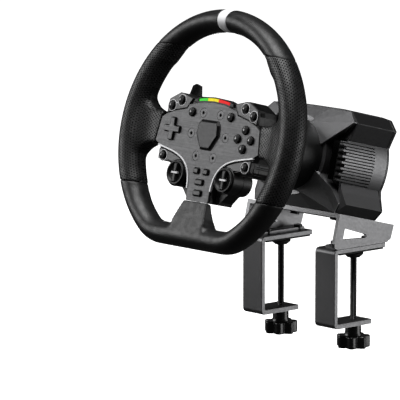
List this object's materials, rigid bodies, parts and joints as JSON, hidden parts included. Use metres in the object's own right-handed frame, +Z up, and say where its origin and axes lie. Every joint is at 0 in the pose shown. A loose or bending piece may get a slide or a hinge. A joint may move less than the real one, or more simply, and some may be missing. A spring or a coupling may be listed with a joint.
{
  "type": "racing wheel",
  "caption": "D-shaped racing wheel with a button hub, shift paddles and rim lights, on a direct-drive motor base with a bent bracket and screw clamps for a desk edge.",
  "frame": {"origin": "midway between the two clamps, where the top of the desk meets the inner faces of the clamp straps", "axes": "+Z up, +Y away from the driver over the desk, +X to the driver's right; the steering axis leans 14 degrees, rising towards the driver"},
  "size_m": [0.28, 0.2608, 0.3833],
  "materials": {
    "powder_coat": "fine powder coat, semi matt",
    "housing_metal": "die-cast, satin grey coat",
    "housing_dark": "fine moulded grain",
    "satin_metal": "satin grey coat with a soft sheen",
    "black_plastic": "fine moulded grain",
    "shell_plastic": "fine moulded grain",
    "black_rubber": "matt",
    "black_steel": "black oxide",
    "bearing_steel": "ground",
    "core_metal": "machined",
    "black_metal": "black anodised",
    "copper": "laminations and enamelled copper windings",
    "circuit_board": "solder mask",
    "leather": "black leather, perforated on the side grips",
    "marker_leather": "light grey leather stripe",
    "face_plate": "fine bead-blasted grey",
    "badge_metal": "satin, bevelled",
    "face_bolts": "satin",
    "led_lens": "lit diffuser, green to red",
    "bright_trim": "satin silver",
    "button_black": "satin gloss",
    "knob_gloss": "satin gloss",
    "screw_steel": "black oxide thread"
  },
  "bodies": {
    "base": {"mount_bracket": "powder_coat", "left_clamp_frame": "powder_coat", "right_clamp_frame": "powder_coat", "jaw_pads": "black_rubber", "bracket_bolts": "black_steel", "motor_housing": "housing_metal", "top_cover": "housing_dark", "front_cover": "satin_metal", "front_ring": "black_plastic", "rear_cover": "housing_dark", "stator": "copper", "bearings": "bearing_steel", "controller_board": "circuit_board", "port_sockets": "black_plastic", "housing_screws": "black_steel"},
    "wheel": {"main_shaft": "bearing_steel", "rotor": "core_metal", "quick_release_hub": "core_metal", "wheel_adapter": "black_metal", "hub_frame": "core_metal", "rim_grip": "leather", "top_marker": "marker_leather", "hub_plate": "face_plate", "hub_front_shell": "shell_plastic", "hub_rear_shell": "black_plastic", "badge": "badge_metal", "led_lens": "led_lens", "hub_bolts": "face_bolts", "trim_strips": "bright_trim", "hub_board": "circuit_board"},
    "cluster_button_top": {"cluster_button_top": "button_black"},
    "cluster_button_right": {"cluster_button_right": "button_black"},
    "cluster_button_bottom": {"cluster_button_bottom": "button_black"},
    "cluster_button_left": {"cluster_button_left": "button_black"},
    "left_round_button": {"left_round_button": "button_black"},
    "right_round_button": {"right_round_button": "button_black"},
    "left_small_button": {"left_small_button": "button_black"},
    "right_small_button": {"right_small_button": "button_black"},
    "upper_menu_button": {"upper_menu_button": "button_black"},
    "lower_menu_button": {"lower_menu_button": "button_black"},
    "left_pod_outer_button": {"left_pod_outer_button": "button_black"},
    "left_pod_inner_button": {"left_pod_inner_button": "button_black"},
    "right_pod_inner_button": {"right_pod_inner_button": "button_black"},
    "right_pod_outer_button": {"right_pod_outer_button": "button_black"},
    "left_lower_button": {"left_lower_button": "button_black"},
    "right_lower_button": {"right_lower_button": "button_black"},
    "power_button": {"power_button": "button_black"},
    "quick_release_collar": {"quick_release_collar": "black_metal"},
    "dpad_pivot": {"dpad_pivot": "bearing_steel"},
    "dpad": {"dpad": "button_black"},
    "left_rotary_knob": {"left_rotary_knob": "knob_gloss"},
    "left_paddle": {"left_paddle": "black_metal"},
    "right_rotary_knob": {"right_rotary_knob": "knob_gloss"},
    "right_paddle": {"right_paddle": "black_metal"},
    "left_clamp_pad": {"left_clamp_pad": "black_rubber"},
    "left_clamp_screw": {"left_clamp_screw": "screw_steel", "left_star_knob": "knob_gloss"},
    "right_clamp_pad": {"right_clamp_pad": "black_rubber"},
    "right_clamp_screw": {"right_clamp_screw": "screw_steel", "right_star_knob": "knob_gloss"}
  },
  "joints": [
    {"name": "wheel_steering", "type": "hinge", "parent": "base", "child": "wheel", "pos_m": [0, -0.1225, 0.1376], "axis": [0, -0.9703, 0.2419], "continuous": true},
    {"name": "cluster_button_top_press", "type": "slide", "parent": "wheel", "child": "cluster_button_top", "axis": [0, 0.9703, -0.2419], "range_m": [0, 0.0015]},
    {"name": "cluster_button_right_press", "type": "slide", "parent": "wheel", "child": "cluster_button_right", "axis": [0, 0.9703, -0.2419], "range_m": [0, 0.0015]},
    {"name": "cluster_button_bottom_press", "type": "slide", "parent": "wheel", "child": "cluster_button_bottom", "axis": [0, 0.9703, -0.2419], "range_m": [0, 0.0015]},
    {"name": "cluster_button_left_press", "type": "slide", "parent": "wheel", "child": "cluster_button_left", "axis": [0, 0.9703, -0.2419], "range_m": [0, 0.0015]},
    {"name": "left_round_button_press", "type": "slide", "parent": "wheel", "child": "left_round_button", "axis": [0, 0.9703, -0.2419], "range_m": [0, 0.0015]},
    {"name": "right_round_button_press", "type": "slide", "parent": "wheel", "child": "right_round_button", "axis": [0, 0.9703, -0.2419], "range_m": [0, 0.0015]},
    {"name": "left_small_button_press", "type": "slide", "parent": "wheel", "child": "left_small_button", "axis": [0, 0.9703, -0.2419], "range_m": [0, 0.0015]},
    {"name": "right_small_button_press", "type": "slide", "parent": "wheel", "child": "right_small_button", "axis": [0, 0.9703, -0.2419], "range_m": [0, 0.0015]},
    {"name": "upper_menu_button_press", "type": "slide", "parent": "wheel", "child": "upper_menu_button", "axis": [0, 0.9703, -0.2419], "range_m": [0, 0.0015]},
    {"name": "lower_menu_button_press", "type": "slide", "parent": "wheel", "child": "lower_menu_button", "axis": [0, 0.9703, -0.2419], "range_m": [0, 0.0015]},
    {"name": "left_pod_outer_button_press", "type": "slide", "parent": "wheel", "child": "left_pod_outer_button", "axis": [0, 0.9703, -0.2419], "range_m": [0, 0.0015]},
    {"name": "left_pod_inner_button_press", "type": "slide", "parent": "wheel", "child": "left_pod_inner_button", "axis": [0, 0.9703, -0.2419], "range_m": [0, 0.0015]},
    {"name": "right_pod_inner_button_press", "type": "slide", "parent": "wheel", "child": "right_pod_inner_button", "axis": [0, 0.9703, -0.2419], "range_m": [0, 0.0015]},
    {"name": "right_pod_outer_button_press", "type": "slide", "parent": "wheel", "child": "right_pod_outer_button", "axis": [0, 0.9703, -0.2419], "range_m": [0, 0.0015]},
    {"name": "left_lower_button_press", "type": "slide", "parent": "wheel", "child": "left_lower_button", "axis": [0, 0.9703, -0.2419], "range_m": [0, 0.0015]},
    {"name": "right_lower_button_press", "type": "slide", "parent": "wheel", "child": "right_lower_button", "axis": [0, 0.9703, -0.2419], "range_m": [0, 0.0015]},
    {"name": "power_button_press", "type": "slide", "parent": "base", "child": "power_button", "axis": [0, -0.9703, 0.2419], "range_m": [0, 0.001]},
    {"name": "collar_pull", "type": "slide", "parent": "wheel", "child": "quick_release_collar", "axis": [0, -0.9703, 0.2419], "range_m": [0, 0.0035]},
    {"name": "dpad_up_down", "type": "hinge", "parent": "wheel", "child": "dpad_pivot", "pos_m": [-0.058, -0.12012, 0.13886], "axis": [1, 0, 0], "range_deg": [-2.5, 2.5]},
    {"name": "dpad_left_right", "type": "hinge", "parent": "dpad_pivot", "child": "dpad", "pos_m": [-0.058, -0.12012, 0.13886], "axis": [0, 0.2419, 0.9703], "range_deg": [-2.5, 2.5]},
    {"name": "left_rotary_knob_turn", "type": "hinge", "parent": "wheel", "child": "left_rotary_knob", "pos_m": [-0.039, -0.13351, 0.09345], "axis": [0, -0.9703, 0.2419], "continuous": true},
    {"name": "left_paddle_pull", "type": "hinge", "parent": "wheel", "child": "left_paddle", "pos_m": [-0.0365, -0.08708, 0.12877], "axis": [0, 0.2419, 0.9703], "range_deg": [0, 6]},
    {"name": "right_rotary_knob_turn", "type": "hinge", "parent": "wheel", "child": "right_rotary_knob", "pos_m": [0.039, -0.13351, 0.09345], "axis": [0, -0.9703, 0.2419], "continuous": true},
    {"name": "right_paddle_pull", "type": "hinge", "parent": "wheel", "child": "right_paddle", "pos_m": [0.0365, -0.08708, 0.12877], "axis": [0, -0.2419, -0.9703], "range_deg": [0, 6]},
    {"name": "left_pad_travel", "type": "slide", "parent": "base", "child": "left_clamp_pad", "axis": [0, 0, -1], "range_m": [0, 0.066]},
    {"name": "left_screw_turn", "type": "hinge", "parent": "left_clamp_pad", "child": "left_clamp_screw", "pos_m": [-0.05875, 0.039, 0], "axis": [0, 0, -1], "range_deg": [0, 19046.02]},
    {"name": "right_pad_travel", "type": "slide", "parent": "base", "child": "right_clamp_pad", "axis": [0, 0, -1], "range_m": [0, 0.066]},
    {"name": "right_screw_turn", "type": "hinge", "parent": "right_clamp_pad", "child": "right_clamp_screw", "pos_m": [0.05875, 0.039, 0], "axis": [0, 0, -1], "range_deg": [0, 19046.02]}
  ],
  "couplings": [
    {"joint": "left_screw_turn", "follows": "left_pad_travel", "rad_per_m": 5026.5},
    {"joint": "right_screw_turn", "follows": "right_pad_travel", "rad_per_m": 5026.5}
  ]
}
